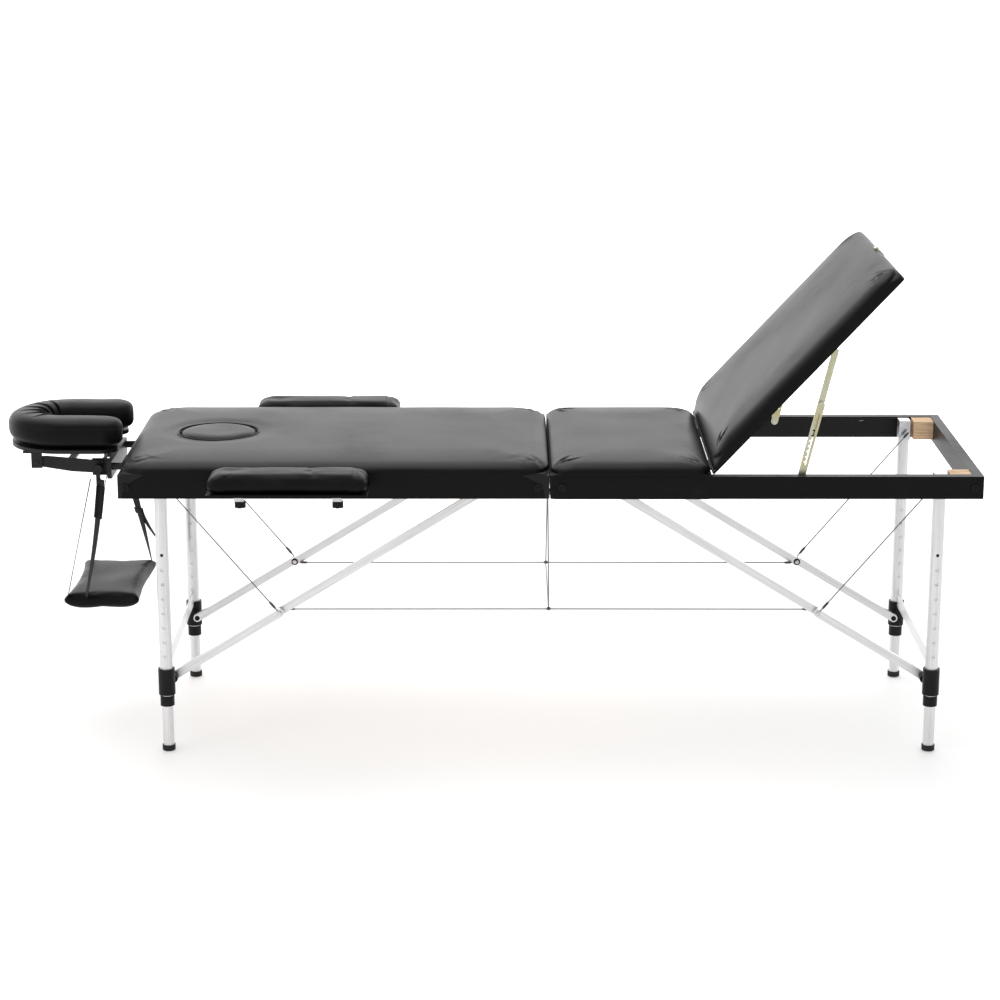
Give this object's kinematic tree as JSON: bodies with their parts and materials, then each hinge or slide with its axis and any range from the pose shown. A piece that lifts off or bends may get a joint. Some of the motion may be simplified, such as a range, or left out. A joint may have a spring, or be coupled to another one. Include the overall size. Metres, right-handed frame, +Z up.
{
  "type": "portable massage table",
  "caption": "Folding massage table with raising backrest, horseshoe face cradle, hanging arm shelf, side armrests, adjustable aluminium legs and braced steel cables.",
  "frame": {"origin": "on the floor, under the middle of the bounding box", "axes": "+X towards the foot end with the raising backrest, +Y to the side away from the viewer, +Z up"},
  "size_m": [2.147, 0.816, 1.0862],
  "materials": {
    "vinyl": "black PU vinyl, broad soft sheen",
    "pale_wood": "sanded beech and plywood, unpainted",
    "silver": "satin anodised aluminium",
    "black_plastic": "moulded black plastic",
    "black_steel": "black powder coat",
    "zinc_yellow": "yellow zinc plated steel",
    "steel": "bright zinc steel",
    "cable_steel": "twisted steel wire",
    "rubber": "black rubber",
    "webbing": "woven black webbing"
  },
  "bodies": {
    "head_half": {"head_frame": "pale_wood", "head_skirt": "vinyl", "head_pad": "vinyl", "head_brackets": "steel", "rail_sockets": "steel", "head_corner_buttons": "black_plastic", "head_cables": "cable_steel"},
    "hinge_core": {"hinge_pins": "steel", "centre_loop": "cable_steel"},
    "foot_half": {"foot_frame": "pale_wood", "foot_skirt": "vinyl", "foot_pad": "vinyl", "foot_brackets": "steel", "foot_corner_buttons": "black_plastic", "foot_cables": "cable_steel"},
    "plug": {"hole_plug": "vinyl"},
    "backrest": {"backrest_board": "black_steel", "backrest_pad": "vinyl", "backrest_brackets": "steel"},
    "ratchets": {"ratchet_channels": "zinc_yellow"},
    "struts": {"strut_tubes": "zinc_yellow"},
    "catch": {"catch_hook": "steel"},
    "cradle_mount": {"cradle_posts": "black_steel"},
    "cradle_arms": {"cradle_arms": "black_plastic"},
    "cradle_head": {"cradle_platform": "black_plastic", "face_cushion": "vinyl"},
    "cradle_lever": {"cam_lever": "black_plastic"},
    "shelf": {"arm_shelf": "vinyl", "shelf_straps": "webbing"},
    "head_legs": {"head_leg_tubes": "silver", "head_housings": "black_plastic"},
    "head_upper_brace": {"head_upper_braces": "silver"},
    "head_lower_brace": {"head_lower_braces": "silver"},
    "head_near_leg": {"head_near_lower_tube": "silver", "head_near_foot_cap": "rubber"},
    "head_near_button": {"head_near_snap_button": "steel"},
    "head_far_leg": {"head_far_lower_tube": "silver", "head_far_foot_cap": "rubber"},
    "head_far_button": {"head_far_snap_button": "steel"},
    "foot_legs": {"foot_leg_tubes": "silver", "foot_housings": "black_plastic"},
    "foot_upper_brace": {"foot_upper_braces": "silver"},
    "foot_lower_brace": {"foot_lower_braces": "silver"},
    "foot_near_leg": {"foot_near_lower_tube": "silver", "foot_near_foot_cap": "rubber"},
    "foot_near_button": {"foot_near_snap_button": "steel"},
    "foot_far_leg": {"foot_far_lower_tube": "silver", "foot_far_foot_cap": "rubber"},
    "foot_far_button": {"foot_far_snap_button": "steel"},
    "near_armrest": {"near_arm_board": "pale_wood", "near_arm_posts": "steel", "near_arm_pad": "vinyl"},
    "near_knob_left": {"near_arm_knob_left": "black_plastic"},
    "near_knob_right": {"near_arm_knob_right": "black_plastic"},
    "far_armrest": {"far_arm_board": "pale_wood", "far_arm_posts": "steel", "far_arm_pad": "vinyl"},
    "far_knob_left": {"far_arm_knob_left": "black_plastic"},
    "far_knob_right": {"far_arm_knob_right": "black_plastic"}
  },
  "joints": [
    {"name": "centre_fold_first", "type": "hinge", "parent": "head_half", "child": "hinge_core", "pos_m": [0.14602, 0, 0.582], "axis": [0, 1, 0], "range_deg": [0, 90], "deforming": ["head_cables", "foot_cables", "centre_loop"]},
    {"name": "centre_fold_second", "type": "hinge", "parent": "hinge_core", "child": "foot_half", "pos_m": [0.14602, 0, 0.582], "axis": [0, 1, 0], "range_deg": [0, 90], "deforming": ["head_cables", "foot_cables", "centre_loop"]},
    {"name": "head_legs_fold", "type": "hinge", "parent": "head_half", "child": "head_legs", "pos_m": [-0.69698, 0, 0.602], "axis": [0, -1, 0], "range_deg": [0, 90.5]},
    {"name": "head_upper_brace_fold", "type": "hinge", "parent": "head_half", "child": "head_upper_brace", "pos_m": [0.04602, 0, 0.606], "axis": [0, 1, 0], "range_deg": [0, 33.4]},
    {"name": "head_lower_brace_fold", "type": "hinge", "parent": "head_legs", "child": "head_lower_brace", "pos_m": [-0.68398, 0, 0.16], "axis": [0, -1, 0], "range_deg": [0, 57.2]},
    {"name": "head_near_leg_height", "type": "slide", "parent": "head_legs", "child": "head_near_leg", "axis": [0, 0, 1], "range_m": [-0.165, 0.066]},
    {"name": "head_near_button_press", "type": "slide", "parent": "head_near_leg", "child": "head_near_button", "axis": [0, 1, 0], "range_m": [0, 0.003], "stiffness_N_per_m": 300},
    {"name": "head_far_leg_height", "type": "slide", "parent": "head_legs", "child": "head_far_leg", "axis": [0, 0, 1], "range_m": [-0.165, 0.066]},
    {"name": "head_far_button_press", "type": "slide", "parent": "head_far_leg", "child": "head_far_button", "axis": [0, 1, 0], "range_m": [0, 0.003], "stiffness_N_per_m": 300},
    {"name": "foot_legs_fold", "type": "hinge", "parent": "foot_half", "child": "foot_legs", "pos_m": [0.98902, 0, 0.602], "axis": [0, 1, 0], "range_deg": [0, 90.5]},
    {"name": "foot_upper_brace_fold", "type": "hinge", "parent": "foot_half", "child": "foot_upper_brace", "pos_m": [0.24602, 0, 0.606], "axis": [0, -1, 0], "range_deg": [0, 33.4]},
    {"name": "foot_lower_brace_fold", "type": "hinge", "parent": "foot_legs", "child": "foot_lower_brace", "pos_m": [0.97602, 0, 0.16], "axis": [0, 1, 0], "range_deg": [0, 57.2]},
    {"name": "foot_near_leg_height", "type": "slide", "parent": "foot_legs", "child": "foot_near_leg", "axis": [0, 0, 1], "range_m": [-0.165, 0.066]},
    {"name": "foot_near_button_press", "type": "slide", "parent": "foot_near_leg", "child": "foot_near_button", "axis": [0, 1, 0], "range_m": [0, 0.003], "stiffness_N_per_m": 300},
    {"name": "foot_far_leg_height", "type": "slide", "parent": "foot_legs", "child": "foot_far_leg", "axis": [0, 0, 1], "range_m": [-0.165, 0.066]},
    {"name": "foot_far_button_press", "type": "slide", "parent": "foot_far_leg", "child": "foot_far_button", "axis": [0, 1, 0], "range_m": [0, 0.003], "stiffness_N_per_m": 300},
    {"name": "backrest_recline", "type": "hinge", "parent": "foot_half", "child": "backrest", "pos_m": [0.49502, 0, 0.6385], "axis": [0, -1, 0], "range_deg": [-47.2, 8]},
    {"name": "ratchet_turn", "type": "hinge", "parent": "foot_half", "child": "ratchets", "pos_m": [0.68602, 0, 0.627], "axis": [0, -1, 0], "range_deg": [-77.5, 14]},
    {"name": "strut_turn", "type": "hinge", "parent": "backrest", "child": "struts", "pos_m": [0.75177, 0, 0.89957], "axis": [0, -1, 0], "range_deg": [-30, 6]},
    {"name": "catch_turn", "type": "hinge", "parent": "backrest", "child": "catch", "pos_m": [0.87176, 0, 1.08066], "axis": [0.6794, 0, 0.7337], "range_deg": [-90, 90]},
    {"name": "plug_lift", "type": "slide", "parent": "head_half", "child": "plug", "axis": [0, 0, 1], "range_m": [0, 0.06]},
    {"name": "cradle_pull", "type": "slide", "parent": "head_half", "child": "cradle_mount", "axis": [-1, 0, 0], "range_m": [0, 0.03]},
    {"name": "cradle_raise", "type": "hinge", "parent": "cradle_mount", "child": "cradle_arms", "pos_m": [-0.85398, 0, 0.606], "axis": [0, 1, 0], "range_deg": [-15, 8]},
    {"name": "cradle_tilt", "type": "hinge", "parent": "cradle_arms", "child": "cradle_head", "pos_m": [-0.99098, 0, 0.617], "axis": [0, -1, 0], "range_deg": [0, 25]},
    {"name": "cam_lever_turn", "type": "hinge", "parent": "cradle_mount", "child": "cradle_lever", "pos_m": [-0.85398, 0, 0.606], "axis": [0, 1, 0], "range_deg": [0, 75]},
    {"name": "shelf_swing", "type": "hinge", "parent": "cradle_mount", "child": "shelf", "pos_m": [-0.85498, 0, 0.584], "axis": [0, 1, 0], "range_deg": [-12, 12]},
    {"name": "near_armrest_pull", "type": "slide", "parent": "head_half", "child": "near_armrest", "axis": [0, -1, 0], "range_m": [0, 0.03]},
    {"name": "near_knob_left_turn", "type": "hinge", "parent": "near_armrest", "child": "near_knob_left", "pos_m": [-0.51498, -0.346, 0.59], "axis": [0, 0, 1], "continuous": true},
    {"name": "near_knob_right_turn", "type": "hinge", "parent": "near_armrest", "child": "near_knob_right", "pos_m": [-0.30698, -0.346, 0.59], "axis": [0, 0, 1], "continuous": true},
    {"name": "far_armrest_pull", "type": "slide", "parent": "head_half", "child": "far_armrest", "axis": [0, 1, 0], "range_m": [0, 0.03]},
    {"name": "far_knob_left_turn", "type": "hinge", "parent": "far_armrest", "child": "far_knob_left", "pos_m": [-0.47498, 0.346, 0.59], "axis": [0, 0, 1], "continuous": true},
    {"name": "far_knob_right_turn", "type": "hinge", "parent": "far_armrest", "child": "far_knob_right", "pos_m": [-0.26698, 0.346, 0.59], "axis": [0, 0, 1], "continuous": true}
  ],
  "couplings": [
    {"joint": "head_legs_fold", "follows": "centre_fold_first", "ratio": 1},
    {"joint": "head_upper_brace_fold", "follows": "centre_fold_first", "ratio": 0.36811},
    {"joint": "head_lower_brace_fold", "follows": "centre_fold_first", "ratio": 0.63189},
    {"joint": "foot_legs_fold", "follows": "centre_fold_first", "ratio": 1},
    {"joint": "foot_upper_brace_fold", "follows": "centre_fold_first", "ratio": 0.36811},
    {"joint": "foot_lower_brace_fold", "follows": "centre_fold_first", "ratio": 0.63189},
    {"joint": "ratchet_turn", "follows": "backrest_recline", "ratio": 1.616},
    {"joint": "strut_turn", "follows": "backrest_recline", "ratio": 0.616}
  ]
}
